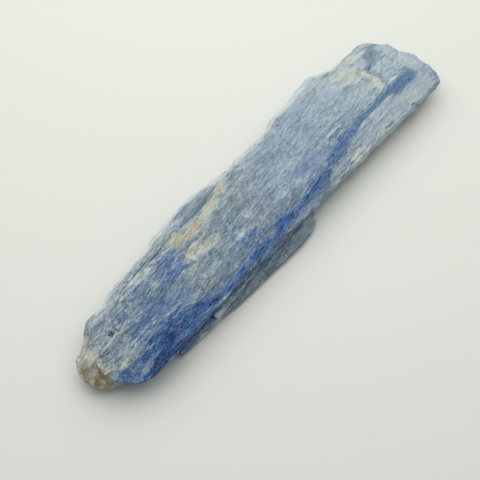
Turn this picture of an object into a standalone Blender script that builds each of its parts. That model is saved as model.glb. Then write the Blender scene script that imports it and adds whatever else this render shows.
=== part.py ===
"""A natural kyanite blade cluster, lying on its flattest cleavage face.

Long flat blades have grown together side by side and overlap along their whole length, so they
are one solid. Each blade is a block cut into cells, whose rims follow lines drawn in plan and
whose faces carry the steps and striae that run with the fibres. A union fuses the blades, and
small cutters open the hollows.

The frame is in metres, +Z up. +X runs with the fibres, from the stained near end to the broken
far end, and -Y is the front. The origin is under the middle of the cluster's box. The drawing
below is in millimetres.
"""

import math
from dataclasses import dataclass
from typing import Callable

import bmesh
import bpy
from mathutils import Euler, Matrix, Vector, noise

MM = 0.001
NAME = "kyanite_blades"

# Driving dimensions, in millimetres. Tops and undersides are heights above the ground
PLATE_TOP = 5.5  # the broad cleavage face that is seen from above
BASE_TOP = 4.95  # the face of the full-length blade under it
FRONT_EDGE_TOP = 4.1  # where the sloping front blade ends in its long edge
SLIVER_TOP = 3.0  # the thin blade that wedges out along the front
UNDER_TOP = 2.0  # the short blade that the others lie on
BURIED_UNDERSIDE = 2.9  # of a blade that is buried in the base blade
FRONT_UNDERSIDE = 2.1
SLIVER_UNDERSIDE = 2.25
UNDER_UNDERSIDE = 0.12

# The flat cleavage face that the cluster rests on, and the runs over which it rises around it
FLAT_X = (-22.0, 24.0)
FLAT_Y = (-4.6, 3.8)
UNDERCUT_RUN = (5.0, 1.6)
UNDERCUT_RISE = 0.5
UNDERCUT_MOST = 2.6  # runs after which the underside rises no more

# The relief that runs with the fibres. Each run is a size along the fibres and one across them
STEP_RISE = 0.14  # one cleavage step
STEP_RUN = (30.0, 2.3)
STEP_LEVELS = 2.8
RISER_SHARE = 0.25  # of a tread
STRIA_DEPTH = 0.07  # one groove between fibres
STRIA_RUN = (9.0, 0.8)
FLAKE_RUN = (9.0, 1.2)
LATH_RISE = 0.2  # how far a lath stands above the face that it grew on
LATH_DEPTH = 0.6  # how far it goes down into that face
LATH_CELL = 1.6
FINE_FRAY = (1.9, 0.25)  # how a rim wanders from its line, along it and by height share
COARSE_FRAY = (5.0, 0.5)
FRAY_SEEDS = {"front": 20, "back": 30, "near": 40, "far": 41}
END_WIDTH = 10.0  # roughly, across an end
CRUST_BUMP = 0.14  # of a crust lump's radius
CRUST_BUMP_RATE = 1.9


@dataclass
class Blade:
    """One blade: the four lines of its upper rim, its two faces, and how its walls run out."""

    name: str
    front: list  # (x, y) along the front rim
    back: list  # (x, y) along the back rim
    near: list  # (share of the way from front to back, x) across the near end
    far: list  # the same across the far end
    top: Callable
    bottom: Callable
    cells: tuple  # along, across and up
    seed: float
    shoulder: dict  # how far each wall runs out, and down, at the worn shoulder under the rim
    foot: dict  # how far each wall has run out at its foot
    ragged: float = 0.12  # how far the rim wanders from its line


def on_line(line, at):
    """The value of a line of (place, value) points at a place, level beyond its ends."""
    if at <= line[0][0]:
        return line[0][1]
    for (a, low), (b, high) in zip(line, line[1:]):
        if at <= b:
            return low + (high - low) * (at - a) / (b - a)
    return line[-1][1]


def mix(a, b, share):
    return a + (b - a) * share


def smooth(share):
    share = max(0.0, min(1.0, share))
    return share * share * (3 - 2 * share)


def ramp(at, start, over, height):
    """A smooth ramp: 0 up to start, and its full height after a run of over."""
    return height * smooth((at - start) / over)


def slant(at, start, rate):
    """A straight slant from start on, at so many millimetres per millimetre."""
    return rate * max(0.0, at - start)


def stretch(at, middle, half):
    """1 along a stretch of a face, and 0 away from it."""
    return math.exp(-(((at - middle) / half) ** 4))


def wander(a, b, run, seed):
    """Smooth noise from -1 to 1, with features as large as the run."""
    return noise.noise(Vector((a / run[0] + 13.7 * seed, b / run[1] - 7.3 * seed, 3.1 * seed)))


def steps(x, y, seed):
    """Cleavage steps: flat treads, long with the fibres, with a short riser between them."""
    level = STEP_LEVELS * wander(x, y, STEP_RUN, seed)
    tread = math.floor(level)
    return STEP_RISE * (tread + smooth((level - tread) / RISER_SHARE))


def striae(x, y, seed):
    """Fine grooves between the fibres."""
    return STRIA_DEPTH * wander(x, y, STRIA_RUN, seed + 0.5)


def grain(x, y, seed):
    return steps(x, y, seed) + striae(x, y, seed)


def base_top(x, y):
    """The base blade's face. It sinks to its ends and rims, and into the scoop beside the plate."""
    scoop = ramp(-y, start=-7.4, over=2.6, height=0.75) * stretch(x, middle=-7.9, half=4.2)
    sinks = (
        ramp(-x, start=30.5, over=6.5, height=1.2)
        + ramp(x, start=29, over=7, height=0.35)
        + slant(-y, start=3.4, rate=0.30)
        + slant(y, start=on_line(BASE_BACK, x) - 1.6, rate=0.35)
    )
    return BASE_TOP - sinks - scoop + grain(x, y, seed=1)


def base_bottom(x, y):
    """The underside: one flat cleavage face, with flaked faces that rise to every edge around it."""
    past_x = max(FLAT_X[0] - x, x - FLAT_X[1], 0.0)
    past_y = max(FLAT_Y[0] - y, y - FLAT_Y[1], 0.0)
    past = math.hypot(past_x / UNDERCUT_RUN[0], past_y / UNDERCUT_RUN[1])
    flakes = ramp(past, start=0, over=1, height=0.25) * (1 + wander(x, y, FLAKE_RUN, seed=9))
    return UNDERCUT_RISE * min(past, UNDERCUT_MOST) + flakes


def front_slope(y):
    """How far the plate and the front blade have sloped down to the long front edge."""
    return ramp(-y, start=3, over=4.5, height=PLATE_TOP - FRONT_EDGE_TOP)


def plate_top(x, y):
    sinks = ramp(x, start=20, over=9, height=0.3) + slant(y, start=4.5, rate=0.15)
    return PLATE_TOP - sinks - front_slope(y) + grain(x, y, seed=2)


def front_top(x, y):
    """The front blade lies a step under the plate, and thins out along the base blade."""
    sinks = ramp(-x, start=28.5, over=6.5, height=1.1) + ramp(x, start=1, over=10, height=0.4)
    return PLATE_TOP - STEP_RISE - sinks - front_slope(y) + grain(x, y, seed=2)


def sliver_top(x, y):
    return SLIVER_TOP + 0.3 * (y + 7) + 0.5 * striae(x, y, seed=5)


def under_top(x, y):
    return UNDER_TOP + 0.42 * (y + 6.2) + grain(x, y, seed=6)


def plate_bottom(x, y):
    return BURIED_UNDERSIDE - 0.01 * x


def front_bottom(x, y):
    """The front blade overhangs, and its underside rises to the long edge."""
    return FRONT_UNDERSIDE + slant(-y, start=6, rate=0.3) + 0.1 * wander(x, y, (6, 1), seed=8)


def sliver_bottom(x, y):
    return SLIVER_UNDERSIDE + ramp(-y, start=6.6, over=1.2, height=0.35)


def under_bottom(x, y):
    rises = (
        slant(-y, start=6.6, rate=0.25)
        + ramp(x, start=1, over=4, height=0.5)
        + ramp(-x, start=20, over=4, height=0.4)
    )
    return UNDER_UNDERSIDE + rises


# The rims, as seen in plan. The ends are given across, by the share of the way from front to back
BASE_BACK = [(-36.4, 0.2), (-35.3, 2.3), (-33.6, 3.2), (-31.6, 4.5), (-28.4, 4.65), (-25.0, 5.65),
             (-21.6, 5.95), (-17.6, 6.25), (-15.8, 6.9), (-11.6, 7.15), (-9.4, 7.65), (-7.9, 7.75),
             (-4.9, 7.6), (-2.6, 6.95), (4.4, 7.0), (9.4, 7.1), (13.0, 7.2), (24.0, 7.1),
             (27.0, 7.15), (30.4, 7.1), (33.6, 7.15), (35.2, 6.6), (36.2, 5.4)]
BASE_FRONT = [(-35.4, -2.6), (-34.2, -3.8), (-32.0, -5.1), (-28.0, -5.8), (-10.0, -6.1),
              (1.0, -6.3), (5.0, -6.85), (21.4, -6.95), (28.4, -7.0), (29.9, -7.15), (31.4, -7.0),
              (35.2, -6.85)]
BASE_NEAR = [(0.0, -35.3), (0.5, -35.8), (1.0, -35.8)]
BASE_FAR = [(0.0, 35.3), (0.10, 36.0), (0.23, 36.0), (0.31, 35.7), (0.46, 36.2), (0.55, 35.9),
            (0.67, 35.3), (0.85, 35.4), (0.92, 34.9), (1.0, 33.9)]

PLATE_BACK = [(-30.0, 1.5), (-28.8, 2.3), (-27.5, 2.5), (-26.2, 3.3), (-21.4, 3.35), (-20.6, 3.7),
              (-15.5, 3.85), (-13.6, 4.9), (-12.1, 4.6), (-8.1, 4.5), (-6.1, 4.9), (-4.4, 5.4),
              (-2.6, 6.0), (8.2, 6.0), (10.2, 7.05), (12.3, 7.7), (15.0, 7.65), (17.0, 7.95),
              (20.5, 8.3), (21.5, 8.65), (22.8, 8.65), (23.4, 8.05), (25.1, 7.5), (25.8, 6.9),
              (28.8, 6.2)]
PLATE_FRONT = [(-30.0, -1.0), (-27.5, -2.9), (-22.0, -4.8), (-16.0, -6.0), (-10.0, -6.2),
               (-4.0, -5.9), (1.0, -5.7), (5.0, -5.2), (8.5, -4.7), (11.0, -4.9), (12.8, -3.3),
               (13.3, -2.2), (14.5, -1.5), (16.8, -1.4), (17.8, -2.2), (27.4, -2.1), (28.6, -1.4)]
PLATE_NEAR = [(0.0, -29.4), (0.3, -29.9), (0.8, -29.8), (1.0, -29.2)]
PLATE_FAR = [(0.0, 28.2), (0.15, 29.2), (0.3, 29.4), (0.45, 28.9), (0.6, 28.6), (1.0, 28.8)]

FRONT_BACK = [(-35.6, -1.2), (-34.4, -0.2), (-31.0, 0.1), (-28.0, -1.5), (13.0, -2.6)]
FRONT_FRONT = [(-35.4, -4.1), (-34.7, -4.9), (-33.6, -6.1), (-32.6, -6.9), (-31.3, -7.35),
               (-29.4, -7.5), (-27.0, -7.4), (-20.0, -7.2), (-16.5, -7.1), (-9.5, -6.7),
               (-1.5, -6.8), (2.5, -7.05), (13.0, -7.0)]
FRONT_NEAR = [(0.0, -35.3), (0.4, -35.7), (0.8, -35.4), (1.0, -35.1)]
FRONT_FAR = [(0.0, 5.0), (0.3, 9.0), (0.6, 11.0), (1.0, 12.4)]

SLIVER_BACK = [(-19.0, -5.6), (4.0, -5.6)]
SLIVER_FRONT = [(-18.9, -7.85), (-15.0, -7.6), (-11.0, -7.2), (-8.0, -6.95), (3.0, -6.65)]
SLIVER_NEAR = [(0.0, -18.8), (1.0, -18.9)]
SLIVER_FAR = [(0.0, 1.5), (1.0, 3.5)]

UNDER_BACK = [(-25.0, -4.0), (5.0, -4.0)]
UNDER_FRONT = [(-26.2, -6.9), (-25.2, -7.3), (-20.0, -7.35), (-18.0, -7.45), (-15.0, -7.8),
               (-12.0, -8.0), (-8.0, -8.05), (-3.0, -8.3), (-1.0, -8.4), (2.2, -8.15),
               (3.4, -7.7), (4.0, -7.2), (4.5, -6.6)]
UNDER_NEAR = [(0.0, -25.4), (0.5, -25.9), (1.0, -25.2)]
UNDER_FAR = [(0.0, 4.2), (0.5, 4.9), (1.0, 5.2)]


def walls(front, back, near, far):
    return {"front": front, "back": back, "near": near, "far": far}


BLADES = [
    Blade("base_blade", BASE_FRONT, BASE_BACK, BASE_NEAR, BASE_FAR, base_top, base_bottom,
          (52, 10, 4), 1,
          shoulder=walls((0.08, 1.30), (0.22, 0.40), (0.30, 0.60), (1.45, 0.75)),
          foot=walls(-0.9, -0.6, -0.4, -0.3)),
    Blade("top_plate", PLATE_FRONT, PLATE_BACK, PLATE_NEAR, PLATE_FAR, plate_top, plate_bottom,
          (50, 9, 2), 2,
          shoulder=walls((0.10, 0.25), (0.15, 0.22), (0.20, 0.3), (0.20, 0.25)),
          foot=walls(0.3, -0.6, 0.6, 0.3)),
    Blade("front_blade", FRONT_FRONT, FRONT_BACK, FRONT_NEAR, FRONT_FAR, front_top, front_bottom,
          (48, 6, 2), 4,
          shoulder=walls((0.15, 0.35), (0.1, 0.2), (0.25, 0.5), (0.3, 0.4)),
          foot=walls(-0.35, 0.2, 0.0, -0.2)),
    Blade("front_sliver", SLIVER_FRONT, SLIVER_BACK, SLIVER_NEAR, SLIVER_FAR, sliver_top,
          sliver_bottom, (18, 3, 2), 5,
          shoulder=walls((0.1, 0.2), (0.0, 0.2), (0.1, 0.15), (0.1, 0.2)),
          foot=walls(-0.1, 0.0, 0.0, 0.0)),
    Blade("under_blade", UNDER_FRONT, UNDER_BACK, UNDER_NEAR, UNDER_FAR, under_top, under_bottom,
          (26, 4, 2), 6,
          shoulder=walls((0.15, 0.25), (0.0, 0.3), (0.3, 0.4), (0.25, 0.35)),
          foot=walls(-0.3, 0.0, -0.2, -0.3)),
]


def lath(name, start, end, width, host, seed, rise=LATH_RISE):
    """A narrow flat crystal between two (x, y) places, grown onto the face of its host."""
    ends = (start, end)
    narrow = [(x, y - width / 2) for x, y in ends]
    wide = [(x, y + width / 2) for x, y in ends]
    cells = (max(4, round((end[0] - start[0]) / LATH_CELL)), 1, 1)
    return Blade(name, narrow, wide, [(0.0, start[0] + width), (1.0, start[0])],
                 [(0.0, end[0]), (1.0, end[0] - width)],
                 lambda x, y: host(x, y) + ramp(x, start[0] - 1.2, over=3, height=rise),
                 lambda x, y: host(x, y) - LATH_DEPTH, cells, seed,
                 shoulder=walls((0, 0), (0, 0), (0, 0), (0, 0)),
                 foot=walls(0.1, 0.1, 0.3, 0.3), ragged=0.2)


LATHS = [
    lath("ledge_lath", (-27.0, 2.7), (-17.0, 3.2), 0.6, plate_top, 11),
    lath("back_lath", (-24.0, 4.6), (-11.5, 5.4), 0.8, base_top, 12),
    lath("edge_lath", (-18.0, -6.5), (0.0, -6.3), 0.5, front_top, 13),
    lath("near_lath", (-34.4, -0.6), (-27.5, -0.5), 0.8, front_top, 14, 0.15),
    lath("near_front_lath", (-33.0, -4.6), (-23.0, -4.3), 0.7, front_top, 15, 0.15),
    lath("far_lath", (27.0, 6.2), (34.0, 6.4), 0.7, base_top, 16),
    lath("strip_lath", (14.0, -5.1), (27.0, -4.7), 0.8, base_top, 17, 0.15),
    lath("strip_edge_lath", (5.0, -5.9), (19.0, -6.2), 0.6, base_top, 18, 0.15),
    lath("plate_lath", (-4.0, 1.6), (9.0, 2.0), 0.9, plate_top, 19, 0.12),
    lath("plate_far_lath", (8.0, -0.6), (20.0, -0.2), 0.7, plate_top, 20, 0.12),
    lath("plate_back_lath", (11.0, 6.2), (22.0, 6.7), 0.8, plate_top, 21, 0.15),
]


def shoulder_height(blade):
    """The height share of the walls' shoulder: one cell under the rim."""
    return max(1, blade.cells[2] - 1) / blade.cells[2]


def run_out(blade, side, w):
    """How far a wall stands out from its rim, at a height share of w."""
    if w == 1:
        return 0.0
    return mix(blade.foot[side], blade.shoulder[side][0], w / shoulder_height(blade))


def fray(blade, side, at, w):
    """How far a rim has wandered from its line, at a place along it and a height share of w."""
    if w == 0:
        return 0.0
    seed = blade.seed + FRAY_SEEDS[side]
    return blade.ragged * (wander(at, w, FINE_FRAY, seed) + wander(at, w, COARSE_FRAY, seed + 1))


def place(blade, u, v, w):
    """Where the block's point (u, v, w), each from 0 to 1, lies on the blade."""
    across = END_WIDTH * v
    near_x = on_line(blade.near, v) - run_out(blade, "near", w) + fray(blade, "near", across, w)
    far_x = on_line(blade.far, v) + run_out(blade, "far", w) + fray(blade, "far", across, w)
    x = mix(near_x, far_x, u)
    front = on_line(blade.front, x) - run_out(blade, "front", w) + fray(blade, "front", x, w)
    back = on_line(blade.back, x) + run_out(blade, "back", w) + fray(blade, "back", x, w)
    return x, mix(front, back, v)


def blade_mesh(blade):
    """A unit block cut into cells, each of its points then moved to its place on the blade."""
    bm = bmesh.new()
    bmesh.ops.create_cube(bm, size=1, matrix=Matrix.Translation((0.5, 0.5, 0.5)))
    for axis, count in enumerate(blade.cells):
        uncut = [e for e in bm.edges if abs(e.verts[0].co[axis] - e.verts[1].co[axis]) > 0.99]
        bmesh.ops.subdivide_edges(bm, edges=uncut, cuts=count - 1, use_grid_fill=True)
    for vert in bm.verts:
        u, v, w = (round(c, 5) for c in vert.co)
        x, y = place(blade, u, v, w)
        on_walls = [side for side, at in zip(blade.shoulder, (v == 0, v == 1, u == 0, u == 1)) if at]
        drop = max((blade.shoulder[side][1] for side in on_walls), default=0.0)
        z = blade.top(x, y)
        if w < 1:
            z = mix(blade.bottom(x, y), z - drop, w / shoulder_height(blade))
        vert.co = Vector((x, y, z)) * MM
    bmesh.ops.triangulate(bm, faces=bm.faces)
    mesh = bpy.data.meshes.new(blade.name)
    bm.to_mesh(mesh)
    bm.free()
    return mesh


def lump(name, centre, radii, seed):
    """A rounded lump of the stained crust, a sphere with its points pushed in and out."""
    bm = bmesh.new()
    bmesh.ops.create_icosphere(bm, subdivisions=2, radius=1)
    for vert in bm.verts:
        swell = 1 + CRUST_BUMP * noise.noise(vert.co * CRUST_BUMP_RATE + Vector((seed, 0, 0)))
        vert.co = Vector(c + r * k * swell for c, r, k in zip(centre, radii, vert.co)) * MM
    mesh = bpy.data.meshes.new(name)
    bm.to_mesh(mesh)
    bm.free()
    return mesh


def hollow(name, centre, radii, turn=(0, 0, 0)):
    """A smooth cutter for a chip or hollow: a stretched sphere, turned by degrees."""
    bm = bmesh.new()
    bmesh.ops.create_icosphere(bm, subdivisions=2, radius=1)
    turned = Euler([math.radians(a) for a in turn]).to_matrix().to_4x4()
    moved = Matrix.Translation(Vector(centre) * MM)
    bmesh.ops.transform(bm, matrix=moved @ turned @ Matrix.Diagonal((*(Vector(radii) * MM), 1)),
                        verts=bm.verts)
    mesh = bpy.data.meshes.new(name)
    bm.to_mesh(mesh)
    bm.free()
    return mesh


def slot(name, centre, size, turn):
    """A square-sided cutter, where a fibre has dropped out."""
    bm = bmesh.new()
    turned = Euler([math.radians(a) for a in turn]).to_matrix().to_4x4()
    bmesh.ops.create_cube(bm, size=1, matrix=Matrix.Translation(Vector(centre) * MM) @ turned
                          @ Matrix.Diagonal((*(Vector(size) * MM), 1)))
    mesh = bpy.data.meshes.new(name)
    bm.to_mesh(mesh)
    bm.free()
    return mesh


def crust_lumps():
    return [
        lump("crust_broad", (-35.0, -0.7, 1.9), (2.4, 3.2, 1.7), 1),
        lump("crust_shoulder", (-34.8, 0.7, 2.5), (2.2, 2.1, 1.6), 3),
    ]


def hollows():
    return [
        hollow("oval_hollow", (-12.2, 0.1, 6.2), (4.1, 1.5, 1.0), (0, 0, -4)),
        slot("dropped_fibre", (-30.8, 0.65, 4.9), (1.1, 0.5, 0.8), (0, 8, 4)),
        slot("far_corner_chip", (35.9, 4.8, 4.6), (1.6, 1.2, 1.0), (10, 25, -30)),
        hollow("underside_flake", (8.0, 5.8, 0.1), (9.0, 1.6, 0.9), (12, 0, 2)),
        hollow("underside_end", (-30.0, -1.0, 0.0), (5.0, 1.6, 0.9), (0, 6, 5)),
    ]


def kyanite():
    """Pale grey-blue crystal with the soft gloss of a cleavage face."""
    material = bpy.data.materials.new("kyanite")
    material.use_nodes = True
    shader = material.node_tree.nodes["Principled BSDF"]
    shader.inputs["Base Color"].default_value = (0.24, 0.32, 0.42, 1)
    shader.inputs["Roughness"].default_value = 0.42
    shader.inputs["Metallic"].default_value = 0.0
    return material


def add(mesh, collection, parent, helper=True):
    obj = bpy.data.objects.new(mesh.name, mesh)
    collection.objects.link(obj)
    obj.parent = parent
    if helper:
        obj.hide_render = True
        obj.display_type = "WIRE"
    return obj


def boolean(obj, other, operation):
    modifier = obj.modifiers.new(other.name, "BOOLEAN")
    modifier.operation = operation
    modifier.solver = "EXACT"
    modifier.object = other


def new_collection(name):
    collection = bpy.data.collections.new(name)
    bpy.context.scene.collection.children.link(collection)
    return collection


def main():
    for obj in list(bpy.data.objects):
        bpy.data.objects.remove(obj)
    shown = new_collection("kyanite_blade_cluster")
    helpers = new_collection("grown_in_and_cut_away")
    origin = bpy.data.objects.new("cluster_origin", None)
    shown.objects.link(origin)

    base, *others = (blade_mesh(blade) for blade in BLADES + LATHS)
    cluster = add(base, shown, origin, helper=False)
    cluster.name = NAME
    cluster.data.materials.append(kyanite())
    for mesh in [*others, *crust_lumps()]:
        boolean(cluster, add(mesh, helpers, origin), "UNION")
    for mesh in hollows():
        boolean(cluster, add(mesh, helpers, origin), "DIFFERENCE")

    bpy.context.view_layer.update()
    whole = cluster.evaluated_get(bpy.context.evaluated_depsgraph_get())
    corners = [Vector(corner) for corner in whole.bound_box]
    low = Vector(map(min, zip(*corners)))
    high = Vector(map(max, zip(*corners)))
    origin.location = (-(low.x + high.x) / 2, -(low.y + high.y) / 2, -low.z)


main()
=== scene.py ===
"""The kyanite blade cluster as it looks: fibrous satin blades, grown together, on a pale table.

Lengths in this script are millimetres until a mesh is made. x runs with the fibres, from the stained
near end to the broken far end, -y is the front, and z is the height above the table. The blades are
drawn on the same lines as the solid, with a fine grid that carries the fibres and thin laminae.
"""

import math
from dataclasses import dataclass
from typing import Callable

import bmesh
import bpy
import numpy as np
from mathutils import Euler, Matrix, Vector, noise


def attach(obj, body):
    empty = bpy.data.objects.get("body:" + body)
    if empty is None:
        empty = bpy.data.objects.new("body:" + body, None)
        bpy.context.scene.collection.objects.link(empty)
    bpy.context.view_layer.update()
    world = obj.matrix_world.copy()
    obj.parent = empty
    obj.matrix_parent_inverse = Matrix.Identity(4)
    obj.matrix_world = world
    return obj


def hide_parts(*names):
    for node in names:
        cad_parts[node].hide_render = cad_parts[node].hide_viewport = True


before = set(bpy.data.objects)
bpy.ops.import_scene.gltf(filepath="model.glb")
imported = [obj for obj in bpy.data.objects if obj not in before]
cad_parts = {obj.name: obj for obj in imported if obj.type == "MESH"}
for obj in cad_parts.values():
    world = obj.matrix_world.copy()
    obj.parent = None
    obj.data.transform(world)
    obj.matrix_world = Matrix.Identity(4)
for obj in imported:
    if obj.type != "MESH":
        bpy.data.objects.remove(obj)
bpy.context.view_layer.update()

MM = 0.001
NODE = "kyanite_blades"

# Where the drawing's origin lies in the frame
DRAWN_AT = (-0.103, -0.146, 0.0)

# Heights above the table
PLATE_TOP = 5.5  # the broad cleavage face that is seen from above
BASE_TOP = 4.95  # the face of the full-length blade under it
FRONT_EDGE_TOP = 4.1  # where the sloping front blade ends in its long edge
SLIVER_TOP = 3.0  # the thin blade that wedges out along the front
UNDER_TOP = 2.0  # the short blade that the others lie on
PLATE_UNDERSIDE = 2.9  # buried in the base blade
FRONT_UNDERSIDE = 2.1
SLIVER_UNDERSIDE = 2.25
UNDER_UNDERSIDE = 0.12

FRONT_STEP = 0.03  # how far the front blade lies under the plate
SLIVER_TILT = (0.3, -7.0)  # the rate at which a face rises to the back, and the y of its height above
UNDER_TILT = (0.42, -6.2)
PLATE_UNDERSIDE_TILT = 0.01

# The flat cleavage face that the cluster rests on, and the runs over which it rises around it
FLAT_X = (-22, 24)
FLAT_Y = (-4.6, 3.8)
UNDERCUT_RUN = (5, 1.6)
UNDERCUT_RISE = 0.5
UNDERCUT_MOST = 2.6

# The grid of a blade: a cell's size along the fibres, across them and up a wall
CELL = (0.38, 0.12, 0.24)
LEAST_CELLS = 3
UNCUT = 0.99  # an edge of the unit block that is this long isn't cut yet

# Relief. Each run is a size along the fibres and one across them
STEP_RISE = 0.07  # one cleavage step
STEP_RUN = (30, 2.3)
STEP_LEVELS = 2.8
STEP_TEAR = 0.12  # how far the steps follow the tears
RISER_SHARE = 0.16
FLAKES = ((3.4, 0.9, 0.045), (1.5, 0.42, 0.03))  # torn sheets: run, run, thickness
TEAR_RUN = (0.9, 0.24)  # their ragged ends, and how far these reach along and across
TEAR = (0.45, 0.2)
SHEET_SLANT = 0.12
SHEET_SPREAD = 7.0  # keeps the values of neighbouring sheets apart
BUNDLES = ((7, 0.9, 0.03), (2.4, 0.45, 0.02))  # fibres: run, run, height
UPPER_GRAIN = 2  # the seed of the relief that runs on over the plate, the front and the base blade
SLIVER_RELIEF = 0.4  # of the full relief
UNDER_FLAKE_RUN = (9, 1.2)
UNDER_FIBRE_RUN = (6, 0.5)
FRONT_RIPPLE = (6, 1, 0.1)  # run, run, height
LATH_RISE = 0.12  # reached over a run that starts a little before the lath
LATH_LEAD = 1.2
LATH_RUN = 3
LATH_DEPTH = 0.6
LATH_RAGGED = 1.3
LUMP_SPLITS = 5
HOLLOW_SPLITS = 4
CRUST_BUMP = 0.14
CRUST_BUMP_RATE = 1.9

# A rim's wandering: run along it, run up the wall, reach
FRAYS = ((5, 0.5, 0.12), (1.9, 0.25, 0.14), (0.8, 0.15, 0.13))
FRAY_SEEDS = {"front": 20, "back": 30, "near": 40, "far": 41}
FRAY_FULL_AT = 0.25  # the height share above which a rim wanders fully
# Chips along a rim, and bundles of fibres that end short: run, run, levels, riser share, size
CHIPS = (2.6, 0.35, 2.5, 0.15, 0.1)
SHORT_BUNDLES = (1.6, 0.7, 3, 0.3, 0.1)
SHORT_FIBRES = (0.4, 0.3, 0.08)  # run, run, size

# How far apart the noises of two neighbouring seeds lie
SEED_SHIFT = (13.7, -7.3, 3.1)
SHEET_SEED_SHIFT = 5.1


def on_line(line, at):
    """The value of a line of (place, value) points at a place, level beyond its ends."""
    if at <= line[0][0]:
        return line[0][1]
    for (a, low), (b, high) in zip(line, line[1:]):
        if at <= b:
            return low + (high - low) * (at - a) / (b - a)
    return line[-1][1]


def mix(a, b, share):
    """The value at a share of the way from a to b."""
    return a + (b - a) * share


def smooth(share):
    """An S-curve from 0 to 1, level beyond its ends."""
    share = max(0.0, min(1.0, share))
    return share * share * (3 - 2 * share)


def ramp(at, start, over, height):
    """A smooth ramp: 0 up to start, and its full height after a run of over."""
    return height * smooth((at - start) / over)


def slant(at, start, rate):
    """A straight slant from start on, at so many millimetres per millimetre."""
    return rate * max(0.0, at - start)


def stretch(at, middle, half):
    """1 along a stretch of a face, and 0 away from it."""
    return math.exp(-(((at - middle) / half) ** 4))


def wander(a, b, run, seed):
    """Smooth noise from -1 to 1, with features as large as the run."""
    first, second, third = (shift * seed for shift in SEED_SHIFT)
    return noise.noise(Vector((a / run[0] + first, b / run[1] + second, third)))


def treads(level, riser):
    """Flat treads one unit apart, with a short riser between them."""
    tread = math.floor(level)
    return tread + smooth((level - tread) / riser)


def sheet(x, y, run, seed):
    """A value from 0 to 1 for the torn sheet that a place lies on, each about as large as the run."""
    at = Vector((x / run[0] + SHEET_SEED_SHIFT * seed, y / run[1] - SHEET_SLANT * x / run[1], seed))
    nearest = noise.voronoi(at)[1][0]
    return noise.cell(nearest * SHEET_SPREAD)


def grain(x, y, seed):
    """Cleavage steps, the torn sheets on them, and the fibres that run along everything."""
    tear = wander(x, y, TEAR_RUN, seed + 3)
    level = STEP_LEVELS * wander(x, y, STEP_RUN, seed) + STEP_TEAR * tear
    steps = STEP_RISE * treads(level, RISER_SHARE)
    sheets = sum(thick * sheet(x + TEAR[0] * tear, y + TEAR[1] * tear, (long, wide), seed + wide)
                 for long, wide, thick in FLAKES)
    fibres = sum(height * wander(x, y, (long, wide), seed + wide) for long, wide, height in BUNDLES)
    return steps + sheets + fibres


def base_top(x, y):
    """The base blade's face. It sinks to its ends and rims, and into the scoop beside the plate."""
    along_scoop = stretch(x, middle=-7.9, half=4.2)
    scoop = along_scoop * ramp(-y, start=-7.4, over=2.6, height=0.75)
    smoother = along_scoop * ramp(y, start=3.5, over=1.2, height=0.8)
    vein_rise = ramp(x, start=7, over=4.5, height=0.53) - ramp(x, start=20, over=9, height=0.33)
    sinks = (
        ramp(-x, start=30.5, over=6.5, height=1.2)
        + ramp(x, start=29, over=7, height=0.35)
        - vein_rise * stretch(y, middle=-2.6, half=2.8)
        + slant(-y, start=3.4, rate=0.30)
        + slant(y, start=on_line(BASE_BACK, x) - 1.6, rate=0.35)
    )
    return BASE_TOP - sinks - scoop + (1 - smoother) * grain(x, y, UPPER_GRAIN)


def base_bottom(x, y):
    """The underside: one flat cleavage face, with flaked faces that rise to every edge around it."""
    past_x = max(FLAT_X[0] - x, x - FLAT_X[1], 0.0)
    past_y = max(FLAT_Y[0] - y, y - FLAT_Y[1], 0.0)
    past = math.hypot(past_x / UNDERCUT_RUN[0], past_y / UNDERCUT_RUN[1])
    flakes = ramp(past, start=0, over=1, height=0.25) * (1 + wander(x, y, UNDER_FLAKE_RUN, seed=9))
    fibres = ramp(past, start=0, over=0.5, height=0.05) * (1 + wander(x, y, UNDER_FIBRE_RUN, seed=7))
    return UNDERCUT_RISE * min(past, UNDERCUT_MOST) + flakes + fibres


def front_slope(y):
    """How far the plate and the front blade have sloped down to the long front edge."""
    return ramp(-y, start=3, over=4.5, height=PLATE_TOP - FRONT_EDGE_TOP)


def near_slope(x):
    """How far the plate and the front blade have sunk to the near end."""
    return ramp(-x, start=28.5, over=6.5, height=1.1)


def plate_top(x, y):
    sinks = near_slope(x) + ramp(x, start=20, over=9, height=0.3) + slant(y, start=4.5, rate=0.15)
    return PLATE_TOP - sinks - front_slope(y) + grain(x, y, UPPER_GRAIN)


def front_top(x, y):
    """The front blade lies a step under the plate, and thins out along the base blade."""
    sinks = near_slope(x) + ramp(x, start=1, over=10, height=0.08)
    return PLATE_TOP - FRONT_STEP - sinks - front_slope(y) + grain(x, y, UPPER_GRAIN)


def sliver_top(x, y):
    rate, level_at = SLIVER_TILT
    return SLIVER_TOP + rate * (y - level_at) + SLIVER_RELIEF * grain(x, y, seed=5)


def under_top(x, y):
    rate, level_at = UNDER_TILT
    return UNDER_TOP + rate * (y - level_at) + grain(x, y, seed=6)


def plate_bottom(x, y):
    return PLATE_UNDERSIDE - PLATE_UNDERSIDE_TILT * x


def front_bottom(x, y):
    """The front blade overhangs, and its underside rises to the long edge."""
    long, wide, height = FRONT_RIPPLE
    return FRONT_UNDERSIDE + slant(-y, start=6, rate=0.3) + height * wander(x, y, (long, wide), seed=8)


def sliver_bottom(x, y):
    return SLIVER_UNDERSIDE + ramp(-y, start=6.6, over=1.2, height=0.35)


def under_bottom(x, y):
    rises = (
        slant(-y, start=6.6, rate=0.10)
        + ramp(x, start=1, over=4, height=0.2)
        + ramp(-x, start=20, over=4, height=0.2)
    )
    return UNDER_UNDERSIDE + rises


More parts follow.
